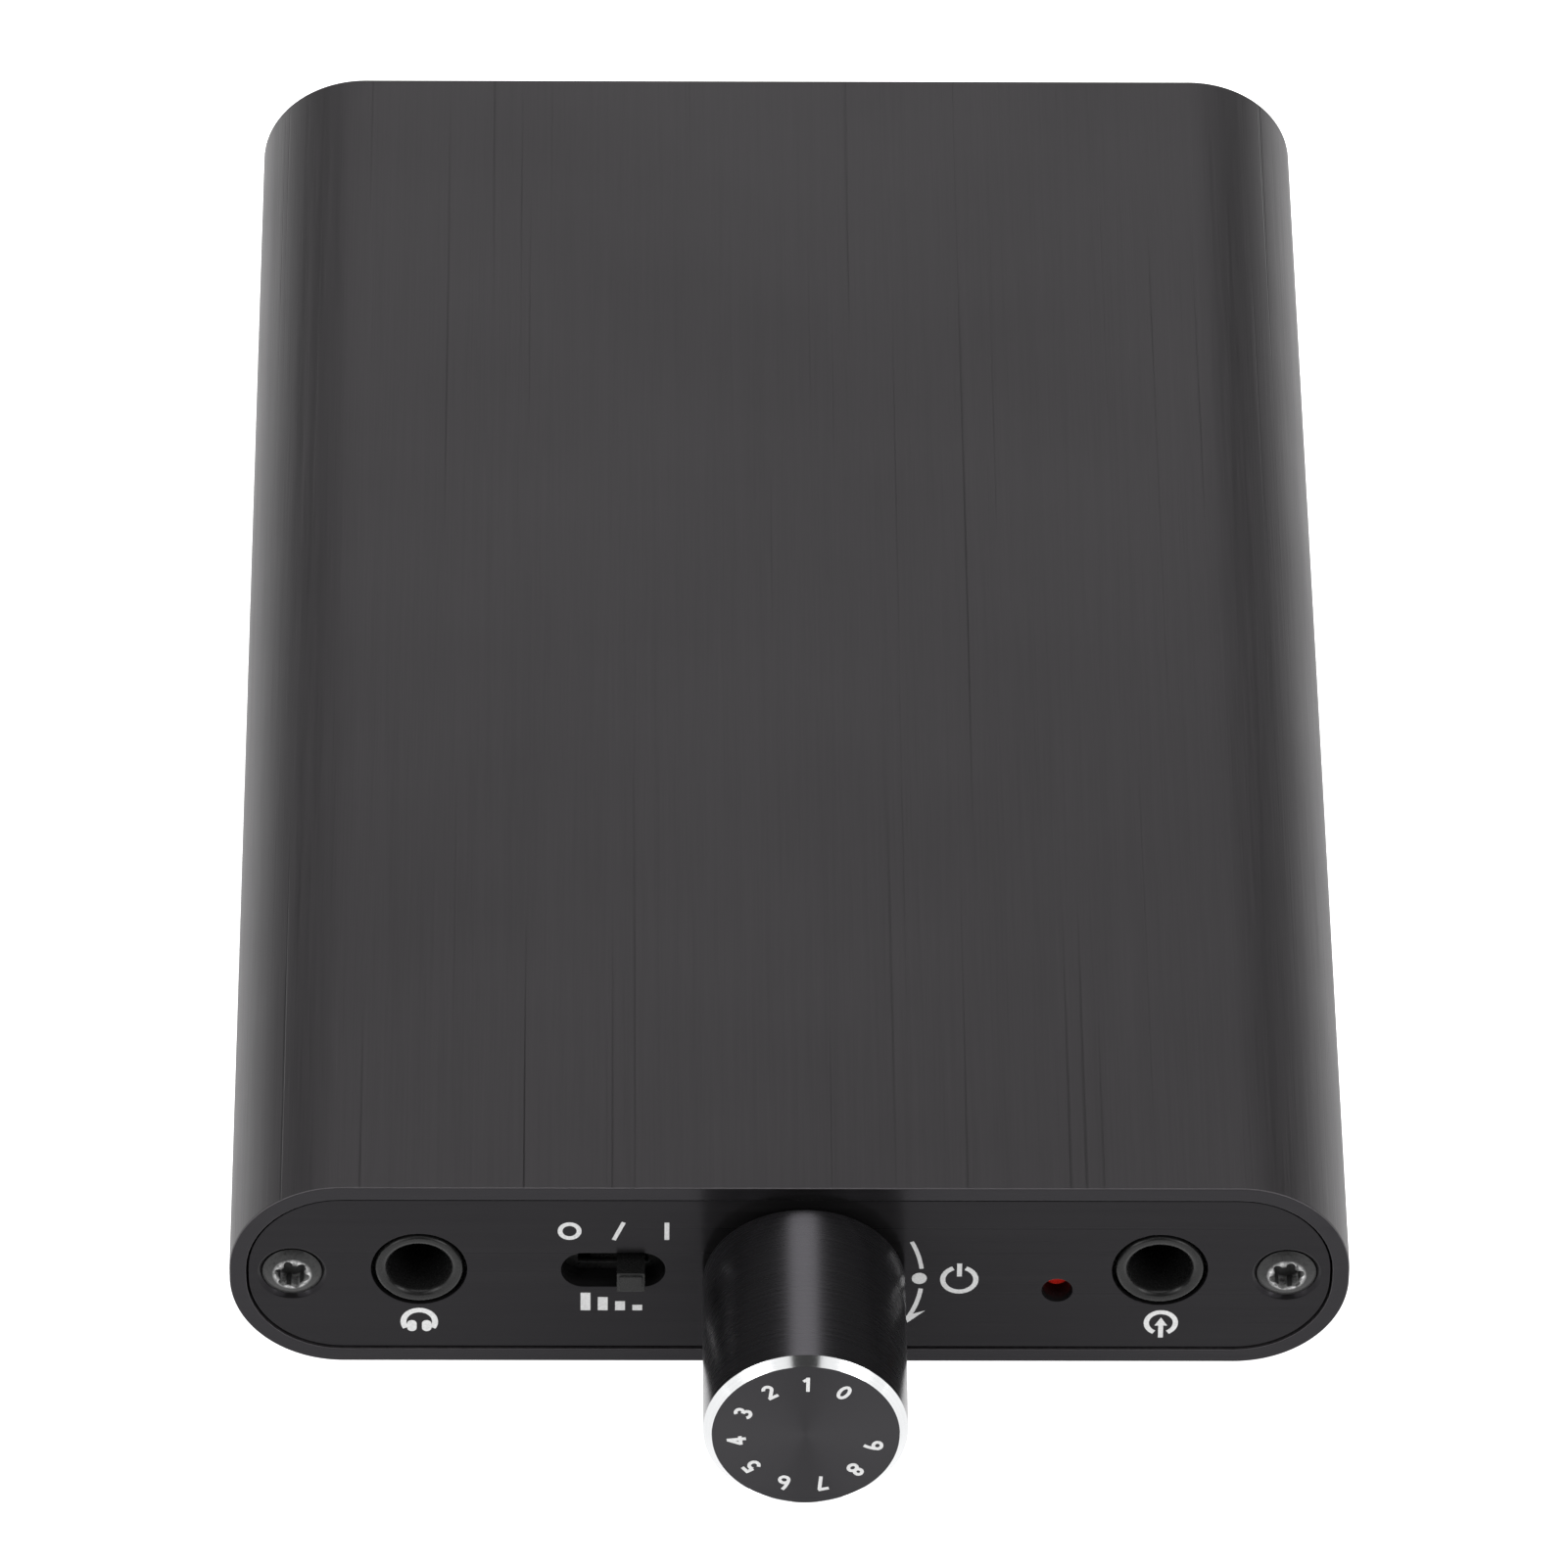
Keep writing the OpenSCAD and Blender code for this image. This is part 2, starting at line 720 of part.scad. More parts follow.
module lamp_lens(x) {
    tip = lens_depth + lens_r;
    translate([x, front_y, lamp_z]) union() {
        translate([0, tip, 0]) sphere(lens_r);
        translate([0, tip + lens_l - lens_r, 0]) rotate([90, 0, 0]) cylinder(r = lens_r, h = lens_l - lens_r);
    }
}

module lamp_leads(x) {
    back = lens_depth + lens_l;
    for (s = [-1, 1]) translate([x + s * 0.45, front_y + back, lamp_z]) {
        translate([0, 1.2, 0]) rotate([90, 0, 0]) cylinder(r = lead_r, h = 1.2);
        translate([0, 1.2, 0]) sphere(lead_r);
        translate([0, 1.2, board_top - lamp_z]) cylinder(r = lead_r, h = lamp_z - board_top);
    }
}

module power_lamp_lens() { color("#a01812") lamp_lens(lamp_x); }
module power_lamp_leads() { color("#c9cbcd") lamp_leads(lamp_x); }
module charge_lamp_lens() { color("#d7e2ea") mirror([0, 1, 0]) lamp_lens(charge_lamp_x); }
module charge_lamp_leads() { color("#c9cbcd") mirror([0, 1, 0]) lamp_leads(charge_lamp_x); }

// ---- charging socket ----

usb_back = rear_y - usb_mouth - usb_l;

module usb_outline(inset) {
    w = usb_w / 2 - inset;
    foot = usb_foot_w / 2 - 0.6 * inset;
    polygon([
        [-w, usb_h - inset], [w, usb_h - inset], [w, usb_shoulder], [foot, inset], [-foot, inset],
        [-w, usb_shoulder]
    ]);
}

module usb_shell() {
    color("#c4c6c8") difference() {
        along_y(usb_back, usb_back + usb_l, usb_z) usb_outline(0);
        along_y(usb_back - past, usb_back + usb_l + past, usb_z) usb_outline(usb_t);
    }
}

module usb_tongue() {
    back_t = 1.2;
    color("#1b1b1e") union() {
        along_y(usb_back, usb_back + back_t, usb_z) usb_outline(usb_t + play);
        translate([-1.9, usb_back + back_t - 0.5, usb_z + 1.45]) cube([3.8, usb_l - back_t - 0.5, 0.55]);
    }
}

module usb_contacts() {
    color("#d9a441") for (i = [-2:2]) {
        translate([i * 0.65 - 0.13, usb_back + 1.25, usb_z + 1.3]) cube([0.26, usb_l - 2.4, 0.15]);
        translate([i * 0.65 - 0.13, usb_back - 0.9, board_top]) cube([0.26, 0.9, 0.15]);
    }
}

// ---- board and what is soldered to it ----

module main_board() {
    y0 = front_y + plate_t + board_end_gap;
    y1 = rear_y - plate_t - board_end_gap;
    notch_half = pot_w / 2 + 0.7;
    notch_end = front_y + pot_end + clamp_t + 0.4;
    color("#1d5a35") difference() {
        translate([-board_w / 2, y0, board_top - board_t]) cube([board_w, y1 - y0, board_t]);
        translate([knob_x - notch_half, y0 - past, 0]) cube([2 * notch_half, notch_end - y0 + past, case_h]);
    }
}

module chip_body(place, size) {
    on_board(place, size, 0.15);
}

module amplifier_chips() {
    color("#232326") for (p = amplifier_chip_places) chip_body(p, soic);
}

module power_chips() {
    color("#232326") for (p = power_chip_places) chip_body(p, sot);
}

// Gull-wing legs on both long sides of each chip
module legs(place, size, count, pitch) {
    leg = 1;
    for (side = [-1, 1], i = [0:count - 1]) {
        y = place[1] + (i - (count - 1) / 2) * pitch;
        x = place[0] + side * (size[0] / 2 + leg / 2);
        translate([x - leg / 2, y - 0.2, board_top]) cube([leg, 0.4, 0.15]);
        translate([x - side * (leg / 2 - 0.1) - 0.1, y - 0.2, board_top]) cube([0.2, 0.4, 0.7]);
    }
}

module chip_leads() {
    color("#c9cbcd") {
        for (p = amplifier_chip_places) legs(p, soic, 4, 1.27);
        for (p = power_chip_places) legs(p, sot, 3, 0.95);
    }
}

module capacitor_cans() {
    top = can_base_t + can_h;
    color("#c9cbcd") for (p = capacitor_places) translate([p[0], p[1], board_top]) rotate_extrude() polygon([
        [0, can_base_t], [can_r, can_base_t], [can_r, can_base_t + 0.5], [can_r - 0.25, can_base_t + 0.75],
        [can_r, can_base_t + 1], [can_r, top - 0.3], [can_r - 0.3, top], [0, top]
    ]);
}

module capacitor_bases() {
    h = can_base / 2;
    cut = 1.2;
    color("#1b1b1e") for (p = capacitor_places) translate([p[0], p[1], board_top]) linear_extrude(can_base_t)
        polygon([[-h, -h], [h, -h], [h, h - cut], [h - cut, h], [cut - h, h], [-h, h - cut]]);
}

module power_inductor() {
    color("#4a4a4d") translate([inductor_place[0], inductor_place[1], board_top]) difference() {
        translate([-inductor_w / 2, -inductor_w / 2, 0]) cube([inductor_w, inductor_w, inductor_h]);
        translate([0, 0, inductor_h - 0.3]) difference() {
            cylinder(r = 2, h = past);
            translate([0, 0, -past]) cylinder(r = 1.5, h = 3 * past);
        }
    }
}

module chip_resistors() {
    color("#1f1f22") for (p = resistor_places) on_board(p, chip_size);
}

module chip_capacitors() {
    color("#b08a5a") for (p = chip_capacitor_places) on_board(p, chip_capacitor_size);
}

// ---- battery ----

module battery_cell() {
    color("#c4c6c8") along_y(cell_front, cell_back, cell_z + cell_h / 2)
        round_rect(cell_w, cell_h, cell_corner_r);
}

module battery_protection_board() {
    color("#d39a1f") translate([-cell_w / 2 + 1, terrace_front, cell_z + 0.6])
        cube([cell_w - 2, cell_front - terrace_front, cell_h - 1.6]);
}

module battery_foam_pad() {
    color("#e9e6dc") translate([-cell_w / 2 + 2, cell_front + 2, board_top])
        cube([cell_w - 4, cell_back - cell_front - 4, cell_z - board_top]);
}

module battery_wire_red() {
    color("#b3201c") tube(red_route, wire_r, wire_sides);
}

module battery_wire_black() {
    color("#151517") tube(black_route, wire_r, wire_sides);
}

// Header on the board, open towards the battery
module battery_socket() {
    t = 0.6;
    color("#e9e6dc") translate([socket_place[0] - socket_w / 2, socket_place[1] - socket_l / 2, board_top])
        difference() {
            cube([socket_w, socket_l, socket_h]);
            translate([t, t, t]) cube([socket_w - 2 * t, socket_l, socket_h - 2 * t]);
        }
}

module battery_plug() {
    back = red_route[0][1];
    z = board_top + socket_h / 2;
    color("#f2f0ea") translate([socket_place[0] - plug_w / 2, back - plug_l, z - plug_h / 2 + play])
        cube([plug_w, plug_l, plug_h - 2 * play]);
}

case_sleeve();
front_panel();
rear_panel();
front_panel_screws();
rear_panel_screws();
knob_shell();
knob_core();
volume_shaft();
volume_rotors();
volume_wipers();
power_switch_cam();
volume_bushing_plate();
volume_gang_housings();
volume_wafers();
power_switch_housing();
power_switch_contacts();
volume_clamp_frame();
volume_terminals();
headphone_jack_body();
headphone_jack_contacts();
input_jack_body();
input_jack_contacts();
bass_switch_lever();
bass_switch_bridge();
bass_switch_frame();
bass_switch_base();
bass_switch_terminals();
power_lamp_lens();
power_lamp_leads();
charge_lamp_lens();
charge_lamp_leads();
usb_shell();
usb_tongue();
usb_contacts();
main_board();
amplifier_chips();
power_chips();
chip_leads();
capacitor_cans();
capacitor_bases();
power_inductor();
chip_resistors();
chip_capacitors();
battery_cell();
battery_protection_board();
battery_foam_pad();
battery_wire_red();
battery_wire_black();
battery_plug();
battery_socket();
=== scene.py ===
"""Looks of the pocket headphone amplifier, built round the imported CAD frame. Lengths are in metres."""

import json
import math

import bmesh
import bpy
from mathutils import Euler, Matrix, Vector
from mathutils.geometry import delaunay_2d_cdt


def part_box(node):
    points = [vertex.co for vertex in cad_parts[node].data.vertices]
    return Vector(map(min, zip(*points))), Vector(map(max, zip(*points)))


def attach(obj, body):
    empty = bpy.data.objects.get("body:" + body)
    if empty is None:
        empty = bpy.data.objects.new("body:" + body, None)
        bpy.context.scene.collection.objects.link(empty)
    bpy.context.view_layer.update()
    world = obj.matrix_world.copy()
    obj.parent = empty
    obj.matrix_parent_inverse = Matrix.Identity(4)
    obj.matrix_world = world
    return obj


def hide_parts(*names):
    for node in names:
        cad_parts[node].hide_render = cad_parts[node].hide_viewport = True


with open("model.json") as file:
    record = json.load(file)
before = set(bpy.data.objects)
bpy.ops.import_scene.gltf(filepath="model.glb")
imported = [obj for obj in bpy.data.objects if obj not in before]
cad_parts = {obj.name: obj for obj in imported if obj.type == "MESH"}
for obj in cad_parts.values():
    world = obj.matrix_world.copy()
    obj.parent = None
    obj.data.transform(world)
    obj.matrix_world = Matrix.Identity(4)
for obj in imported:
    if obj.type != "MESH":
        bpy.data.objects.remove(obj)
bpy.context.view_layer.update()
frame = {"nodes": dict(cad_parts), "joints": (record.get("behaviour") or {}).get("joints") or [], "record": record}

MM = 0.001

# Named places, from the frame
SLEEVE_LOW, SLEEVE_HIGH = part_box("case_sleeve")
FACE_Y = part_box("front_panel")[0].y
KNOB_LOW, KNOB_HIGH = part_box("knob_shell")
JOINTS = {joint["name"]: joint for joint in frame["joints"]}
KNOB_AXIS = Vector(JOINTS["volume_turn"]["pos_m"])
SCREWS_LOW, SCREWS_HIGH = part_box("front_panel_screws")
SCREW_X = SCREWS_HIGH.x - (SCREWS_HIGH.z - SCREWS_LOW.z) / 2
SCREW_Z = (SCREWS_HIGH.z + SCREWS_LOW.z) / 2


# ---------------------------------------------------------------- node helpers


class Tree:
    """A material's node tree, with short calls for the nodes that the looks here share."""

    def __init__(self, name):
        self.material = bpy.data.materials.new(name)
        self.material.use_nodes = True
        self.nodes = self.material.node_tree.nodes
        self.links = self.material.node_tree.links
        self.nodes.clear()
        self.shader = self.nodes.new("ShaderNodeBsdfPrincipled")
        output = self.nodes.new("ShaderNodeOutputMaterial")
        self.links.new(self.shader.outputs["BSDF"], output.inputs["Surface"])
        self.place = self.nodes.new("ShaderNodeTexCoord").outputs["Object"]

    def set(self, **values):
        """Sets sockets of the shader; an underscore in a name stands for a space."""
        for name, value in values.items():
            self.shader.inputs[name.replace("_", " ")].default_value = value
        return self

    def feed(self, socket, name):
        self.links.new(socket, self.shader.inputs[name])
        return self

    def node(self, kind, inputs=(), **settings):
        node = self.nodes.new(kind)
        for key, value in settings.items():
            setattr(node, key, value)
        for key, value in dict(inputs).items():
            if isinstance(value, bpy.types.NodeSocket):
                self.links.new(value, node.inputs[key])
            else:
                node.inputs[key].default_value = value
        return node

    def scaled(self, x, y, z, source=None):
        """Object coordinates times a scale on each axis."""
        node = self.node("ShaderNodeMapping", {"Vector": source or self.place, "Scale": (x, y, z)})
        return node.outputs["Vector"]

    def noise(self, vector, scale=1.0, detail=2.0, roughness=0.5):
        node = self.node(
            "ShaderNodeTexNoise",
            {"Vector": vector, "Scale": scale, "Detail": detail, "Roughness": roughness},
        )
        return node.outputs["Fac"]

    def math(self, operation, a, b=0.0, clamp=False):
        node = self.node("ShaderNodeMath", {0: a, 1: b}, operation=operation, use_clamp=clamp)
        return node.outputs["Value"]

    def spread(self, value, low, high):
        """Maps 0.3 to 0.7, where a noise's values lie, to low to high."""
        node = self.node(
            "ShaderNodeMapRange",
            {"Value": value, "From Min": 0.3, "From Max": 0.7, "To Min": low, "To Max": high},
            clamp=True,
        )
        return node.outputs["Result"]

    def blend(self, factor, a, b):
        node = self.node("ShaderNodeMix", data_type="RGBA")
        for key, value in (("Factor", factor), ("A", a), ("B", b)):
            kind = "VALUE" if key == "Factor" else "RGBA"
            socket = next(s for s in node.inputs if s.name == key and s.type == kind)
            if isinstance(value, bpy.types.NodeSocket):
                self.links.new(value, socket)
            else:
                socket.default_value = value
        return next(s for s in node.outputs if s.type == "RGBA")

    def bump(self, height, strength, distance):
        node = self.node(
            "ShaderNodeBump", {"Height": height, "Strength": strength, "Distance": distance}
        )
        return self.feed(node.outputs["Normal"], "Normal")

    def tangent(self, axis):
        node = self.node("ShaderNodeTangent", direction_type="RADIAL", axis=axis)
        return self.feed(node.outputs["Tangent"], "Tangent")


def grey(value, warm=0.0, violet=0.0):
    """A near-neutral colour. warm above 0 leans to red, below 0 to blue; violet lowers the green."""
    return (value * (1 + warm), value * (1 - violet), value * (1 - warm), 1.0)


# ---------------------------------------------------------------- materials


GRAIN_DEPTH = 0.01 * MM            # depth of the finest bumps
CASE_SHEEN = (1.0, 0.95, 1.0, 1.0)  # the black dye tints what each finish reflects
PANEL_SHEEN = (0.94, 0.9, 1.0, 1.0)


def brushed(name, scale, tones, rough, axis, aniso, level, lines, violet, tint):
    """Anodised aluminium with brush lines. scale stretches the noise along the lines."""
    tree = Tree(name)
    fine = tree.noise(tree.scaled(*scale), 9000, 3, 0.6)
    wide = tree.noise(tree.scaled(*scale), 1800, 4, 0.65)
    longer = (part ** 1.4 for part in scale)
    long = tree.noise(tree.scaled(*longer), 4200, 2, 0.5)
    cloud = tree.noise(tree.place, 60, 3, 0.5)
    mixed = tree.math("ADD", tree.math("MULTIPLY", fine, 0.45), tree.math("MULTIPLY", wide, 0.55))
    low, high = grey(tones[0], violet=violet), grey(tones[1], violet=violet)
    colour = tree.blend(tree.spread(mixed, 0, 1), low, high)
    scratch = tree.math("MULTIPLY", tree.math("SUBTRACT", long, 0.68), 8.0, clamp=True)
    tree.feed(tree.blend(scratch, colour, grey(tones[0] * 0.3)), "Base Color")
    uneven = tree.math("ADD", tree.math("MULTIPLY", cloud, 0.3), tree.math("MULTIPLY", mixed, 0.7))
    tree.feed(tree.spread(uneven, *rough), "Roughness")
    tree.bump(tree.math("SUBTRACT", mixed, scratch), lines, 2 * GRAIN_DEPTH)
    tree.tangent(axis)
    tree.set(Metallic=0.0, Anisotropic=aniso, Specular_IOR_Level=level, Specular_Tint=tint)
    return tree.material


def anodised_case():
    return brushed(
        "anodised_case", scale=(1, 0.012, 1), tones=(0.008, 0.024), rough=(0.38, 0.52), axis="Y",
        aniso=0.78, level=0.58, lines=1.0, violet=0.06, tint=CASE_SHEEN,
    )


def sawn_end():
    """The case's end faces: sawn across, then anodised."""
    return brushed(
        "sawn_end", scale=(0.03, 1, 1), tones=(0.003, 0.006), rough=(0.14, 0.22), axis="X",
        aniso=0.3, level=0.19, lines=0.3, violet=0.04, tint=PANEL_SHEEN,
    )


def anodised_panel():
    return brushed(
        "anodised_panel", scale=(0.015, 1, 1), tones=(0.004, 0.007), rough=(0.14, 0.21), axis="X",
        aniso=0.4, level=0.115, lines=0.3, violet=0.04, tint=PANEL_SHEEN,
    )


def anodised_knob():
    """Turned side of the knob: rings round its axis."""
    tree = Tree("anodised_knob")
    rings = tree.noise(tree.scaled(0, 1, 0), 5000, 3, 0.6)
    tree.feed(tree.blend(tree.spread(rings, 0, 1), grey(0.002), grey(0.004)), "Base Color")
    tree.feed(tree.spread(rings, 0.25, 0.31), "Roughness")
    tree.bump(rings, 0.08, GRAIN_DEPTH)
    tree.set(Specular_IOR_Level=0.95, Specular_Tint=PANEL_SHEEN)
    return tree.material


def circles(tree, scale):
    """Noise that is even along every circle round the knob's axis."""
    middle = (KNOB_AXIS.x, 0, KNOB_AXIS.z)
    offset = tree.node("ShaderNodeVectorMath", {0: tree.place, 1: middle}, operation="SUBTRACT")
    flat = tree.scaled(1, 0, 1, offset.outputs["Vector"])
    radius = tree.node("ShaderNodeVectorMath", {0: flat}, operation="LENGTH").outputs["Value"]
    return tree.noise(tree.node("ShaderNodeCombineXYZ", {"X": radius}).outputs["Vector"], scale, 2, 0.6)


def spun_dial():
    """Face of the knob, turned in fine circles."""
    tree = Tree("spun_dial")
    grooves = circles(tree, 16000)
    tree.feed(tree.blend(tree.spread(grooves, 0, 1), grey(0.004), grey(0.008)), "Base Color")
    tree.feed(tree.spread(grooves, 0.46, 0.56), "Roughness")
    tree.bump(grooves, 0.35, GRAIN_DEPTH)
    tree.tangent("Y")
    tree.set(Anisotropic=0.75, Anisotropic_Rotation=0.25, Specular_IOR_Level=0.28, Specular_Tint=PANEL_SHEEN)
    return tree.material


def bright_cut():
    """Bare aluminium left by a diamond tool."""
    tree = Tree("bright_cut")
    grooves = circles(tree, 20000)
    tree.feed(tree.blend(tree.spread(grooves, 0, 1), grey(0.42, -0.01), grey(0.48, -0.01)), "Base Color")
    tree.feed(tree.spread(grooves, 0.1, 0.18), "Roughness")
    tree.set(Metallic=1.0)
    return tree.material


def print_ink():
    """Screen-printed pale grey ink."""
    tree = Tree("print_ink")
    grain = tree.noise(tree.place, 9000, 3, 0.6)
    tree.feed(tree.blend(tree.spread(grain, 0, 1), grey(0.36), grey(0.48)), "Base Color")
    tree.feed(tree.spread(grain, 0.45, 0.6), "Roughness")
    return tree.material


HIGHLIGHT_RING_R = 0.95 * MM                 # radius of the painted highlight ring round a screw's recess
HIGHLIGHT_RING_W = 0.2 * MM


def black_oxide():
    """Oxide-black steel, with a painted highlight: a ring of bright bare metal round each screw's recess."""
    tree = Tree("black_oxide")
    grain = tree.noise(tree.place, 6000, 3, 0.6)
    offset = tree.node("ShaderNodeSeparateXYZ", {"Vector": tree.place})
    # painted highlight: a bright metallic ring at a fixed radius round each screw's axis, broken up by noise
    along = tree.math("SUBTRACT", tree.math("ABSOLUTE", offset.outputs["X"]), SCREW_X)
    height = tree.math("SUBTRACT", offset.outputs["Z"], SCREW_Z)
    squares = tree.math("ADD", tree.math("POWER", along, 2.0), tree.math("POWER", height, 2.0))
    off_ring = tree.math("ABSOLUTE", tree.math("SUBTRACT", tree.math("SQRT", squares), HIGHLIGHT_RING_R))
    near_ring = tree.math("SUBTRACT", 1.0, tree.math("MULTIPLY", off_ring, 1 / HIGHLIGHT_RING_W), clamp=True)
    painted_highlight = tree.math("MULTIPLY", near_ring, tree.spread(tree.noise(tree.place, 2600, 2, 0.6), 0, 1))
    dark = tree.blend(tree.spread(grain, 0, 1), grey(0.008), grey(0.02))
    tree.feed(tree.blend(painted_highlight, dark, grey(0.5)), "Base Color")
    tree.feed(tree.spread(grain, 0.25, 0.42), "Roughness")
    tree.feed(painted_highlight, "Metallic")
    tree.set(Specular_IOR_Level=0.2)
    return tree.material


def plain(name, tones, rough, grain_scale=4000, metallic=0.0, lumps=0.15, **values):
    """A fine-grained material between two colours, such as moulded plastic, tin or ceramic."""
    tree = Tree(name)
    grain = tree.noise(tree.place, grain_scale, 3, 0.6)
    broad = tree.noise(tree.place, grain_scale / 20, 2, 0.5)
    mixed = tree.math("ADD", tree.math("MULTIPLY", grain, 0.6), tree.math("MULTIPLY", broad, 0.4))
    tree.feed(tree.blend(tree.spread(mixed, 0, 1), *tones), "Base Color")
    tree.feed(tree.spread(grain, *rough), "Roughness")
    tree.bump(grain, lumps, GRAIN_DEPTH)
    tree.set(Metallic=metallic, **values)
    return tree.material


def lens(name, colour, glow=None):
    """Clear coloured epoxy; a lit lamp also glows a little."""
    tree = Tree(name)
    swirl = tree.noise(tree.place, 1500, 2, 0.5)
    darker = tuple(0.7 * c for c in colour[:3]) + (1.0,)
    tree.feed(tree.blend(tree.spread(swirl, 0, 1), darker, colour), "Base Color")
    tree.feed(tree.spread(swirl, 0.08, 0.16), "Roughness")
    tree.set(Transmission_Weight=0.35, IOR=1.5)
    if glow:
        tree.set(Emission_Color=glow[0], Emission_Strength=glow[1])
    return tree.material


def circuit_board():
    """Solder mask over tracks, with a faint weave."""
    tree = Tree("circuit_board")
    tracks = tree.node(
        "ShaderNodeTexBrick",
        {"Vector": tree.place, "Scale": 700, "Mortar Size": 0.06, "Brick Width": 1.4, "Row Height": 0.6},
    ).outputs["Fac"]
    weave = tree.noise(tree.place, 3000, 2, 0.5)
    base = tree.blend(tree.spread(weave, 0, 1), (0.006, 0.07, 0.03, 1), (0.01, 0.1, 0.045, 1))
    tree.feed(tree.blend(tracks, base, (0.02, 0.17, 0.08, 1)), "Base Color")
    tree.feed(tree.spread(weave, 0.22, 0.34), "Roughness")
    tree.bump(tracks, 0.3, 3 * GRAIN_DEPTH)
    return tree.material


def laminate():
    """Brown paper laminate with its layers showing at the edges."""
    tree = Tree("phenolic_board")
    fibres = tree.noise(tree.scaled(1, 1, 0.1), 5000, 4, 0.6)
    brown = tree.blend(tree.spread(fibres, 0, 1), (0.16, 0.08, 0.035, 1), (0.28, 0.15, 0.07, 1))
    tree.feed(brown, "Base Color")
    tree.feed(tree.spread(fibres, 0.4, 0.55), "Roughness")
    return tree.material


def foam():
    """Closed-cell foam tape."""
    tree = Tree("foam")
    cells = tree.node("ShaderNodeTexVoronoi", {"Vector": tree.place, "Scale": 4000}).outputs["Distance"]
    tree.feed(tree.blend(cells, (0.5, 0.48, 0.42, 1), (0.78, 0.76, 0.7, 1)), "Base Color")
    tree.bump(cells, 0.6, 10 * GRAIN_DEPTH)
    tree.set(Roughness=0.9)
    return tree.material


def pouch_foil():
    """Foil laminate with a faint quilting from the wound cell under it."""
    tree = Tree("pouch_foil")
    crease = tree.noise(tree.scaled(1, 0.3, 1), 300, 4, 0.6)
    tree.feed(tree.blend(tree.spread(crease, 0, 1), grey(0.5, -0.02), grey(0.66, -0.02)), "Base Color")
    tree.feed(tree.spread(crease, 0.25, 0.4), "Roughness")
    tree.bump(crease, 0.4, 20 * GRAIN_DEPTH)
    tree.set(Metallic=0.9)
    return tree.material


BLACK_PLASTIC = (grey(0.005), grey(0.009))
DEEP_GOLD = (0.8, 0.52, 0.14, 1)
PALE_GOLD = (0.95, 0.68, 0.24, 1)
METAL = {"metallic": 1.0, "grain_scale": 6000}
MATERIALS = {
    "anodised_case": anodised_case(),
    "anodised_panel": anodised_panel(),
    "anodised_knob": anodised_knob(),
    "black_oxide": black_oxide(),
    "black_plastic": plain("black_plastic", BLACK_PLASTIC, (0.22, 0.3), lumps=0.04, Specular_IOR_Level=0.18),
    "shaft_steel": plain("shaft_steel", (grey(0.42), grey(0.58)), (0.22, 0.34), **METAL),
    "white_plastic": plain("white_plastic", (grey(0.68, 0.03), grey(0.76, 0.03)), (0.38, 0.5)),
    "spring_brass": plain("spring_brass", ((0.7, 0.46, 0.16, 1), (0.85, 0.6, 0.25, 1)), (0.2, 0.3), **METAL),
    "zinc": plain("zinc", (grey(0.42), grey(0.55)), (0.35, 0.5), **METAL),
    "phenolic_board": laminate(),
    "steel_strip": plain("steel_strip", (grey(0.45), grey(0.6)), (0.25, 0.36), **METAL),
    "contact_silver": plain("contact_silver", (grey(0.68, 0.02), grey(0.82, 0.02)), (0.15, 0.25), **METAL),
    "red_lens": lens("red_lens", (0.42, 0.012, 0.008, 1), ((1.0, 0.05, 0.03, 1), 0.09)),
    "clear_lens": lens("clear_lens", (0.8, 0.84, 0.86, 1)),
    "gold_contact": plain("gold_contact", (DEEP_GOLD, PALE_GOLD), (0.15, 0.22), **METAL),
    "circuit_board": circuit_board(),
    "chip_epoxy": plain("chip_epoxy", (grey(0.015), grey(0.03)), (0.5, 0.65), lumps=0.3),
    "tinned_lead": plain("tinned_lead", (grey(0.5), grey(0.66)), (0.28, 0.42), **METAL),
    "can_aluminium": plain("can_aluminium", (grey(0.66), grey(0.8)), (0.22, 0.34), **METAL),
    "ferrite": plain("ferrite", (grey(0.05), grey(0.1)), (0.5, 0.7), lumps=0.5),
    "ceramic": plain("ceramic", ((0.38, 0.25, 0.13, 1), (0.52, 0.36, 0.2, 1)), (0.35, 0.5)),
    "pouch_foil": pouch_foil(),
    "amber_film": plain("amber_film", ((0.5, 0.24, 0.02, 1), (0.66, 0.36, 0.04, 1)), (0.18, 0.3), lumps=0.3),
    "foam": foam(),
    "red_wire": plain("red_wire", ((0.4, 0.012, 0.01, 1), (0.5, 0.02, 0.014, 1)), (0.3, 0.42)),
    "black_wire": plain("black_wire", (grey(0.01), grey(0.018)), (0.3, 0.42)),
}
SAWN_END = sawn_end()
SPUN_DIAL = spun_dial()
BRIGHT_CUT = bright_cut()
PRINT_INK = print_ink()


# ---------------------------------------------------------------- mesh helpers

SEAM = 0.0005 * MM                 # repeated corners of the CAD mesh lie no further apart than this
FLAT = math.radians(0.5)           # faces closer in angle than this are one flat face
SHARP = math.radians(42)           # edges over this angle are real edges


